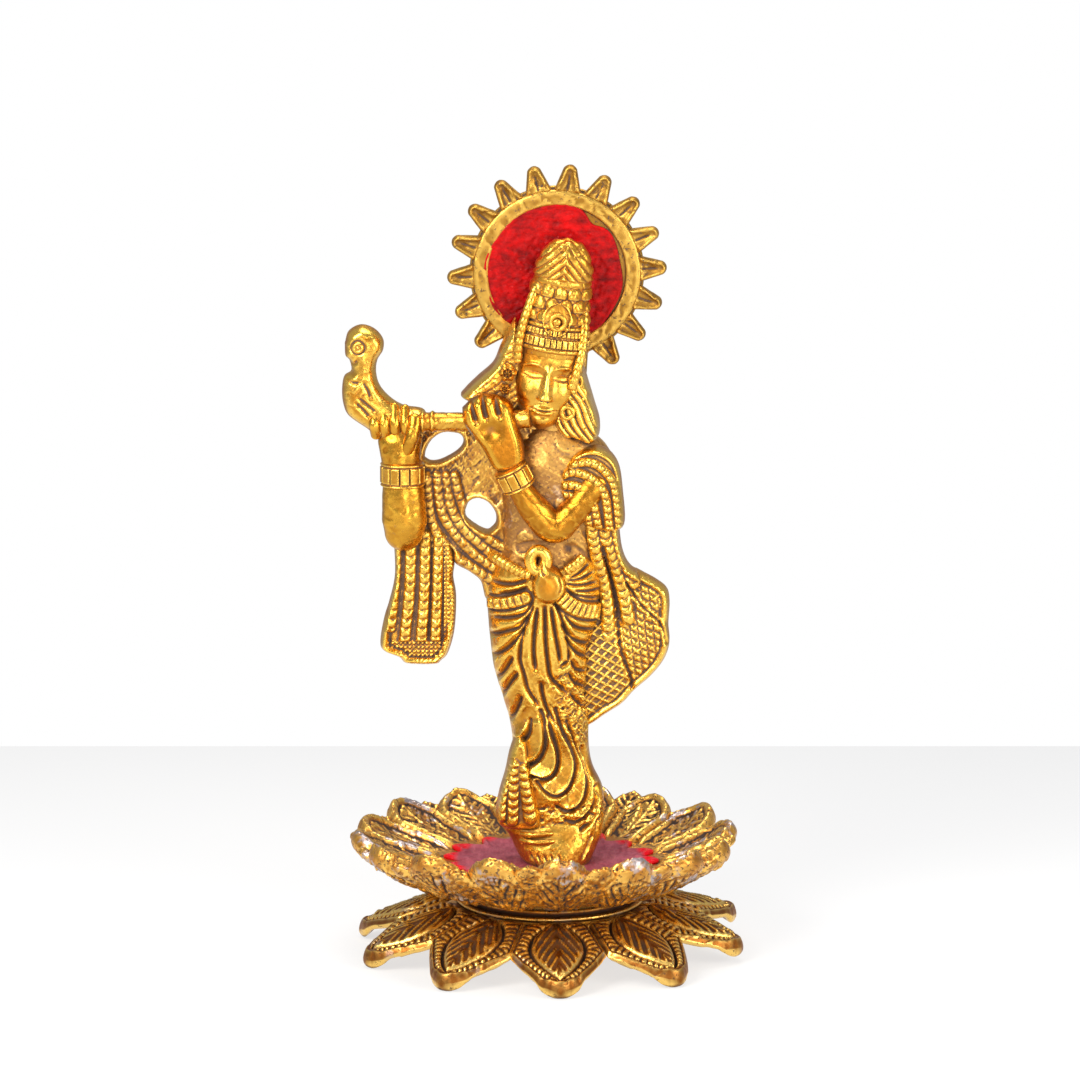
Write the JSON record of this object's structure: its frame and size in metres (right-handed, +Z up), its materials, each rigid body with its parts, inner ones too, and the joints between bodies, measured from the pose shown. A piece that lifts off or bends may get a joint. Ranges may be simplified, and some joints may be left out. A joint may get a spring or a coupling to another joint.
{
  "type": "hindu deity statue",
  "caption": "Standing flute-player deity figurine in relief, with a sunburst halo disc, on a two-tier lotus-petal stand.",
  "frame": {"origin": "on the floor, on the vertical axis of the stand, which is under the middle of the whole object to within a millimetre", "axes": "+Z up, -Y towards the figure's front, +X to the viewer's right"},
  "size_m": [0.0694, 0.0688, 0.1383],
  "materials": {
    "base_metal": "antique gold plate with dark patina in the hollows",
    "spacer_metal": "satin gold plate",
    "bowl_metal": "pitted antique gold plate with dark patina",
    "figure_metal": "bright gold plate, dark patina in the hollows",
    "halo_metal": "satin gold plate",
    "red_enamel": "gloss red enamel",
    "steel_screw": "zinc plated"
  },
  "bodies": {
    "root": {"lotus_base": "base_metal", "spacer_disc": "spacer_metal", "lotus_bowl": "bowl_metal", "bowl_enamel": "red_enamel", "figure": "figure_metal", "halo": "halo_metal", "halo_enamel": "red_enamel", "halo_rivet": "halo_metal", "fixing_screw": "steel_screw", "screw_washer": "steel_screw"}
  },
  "joints": []
}
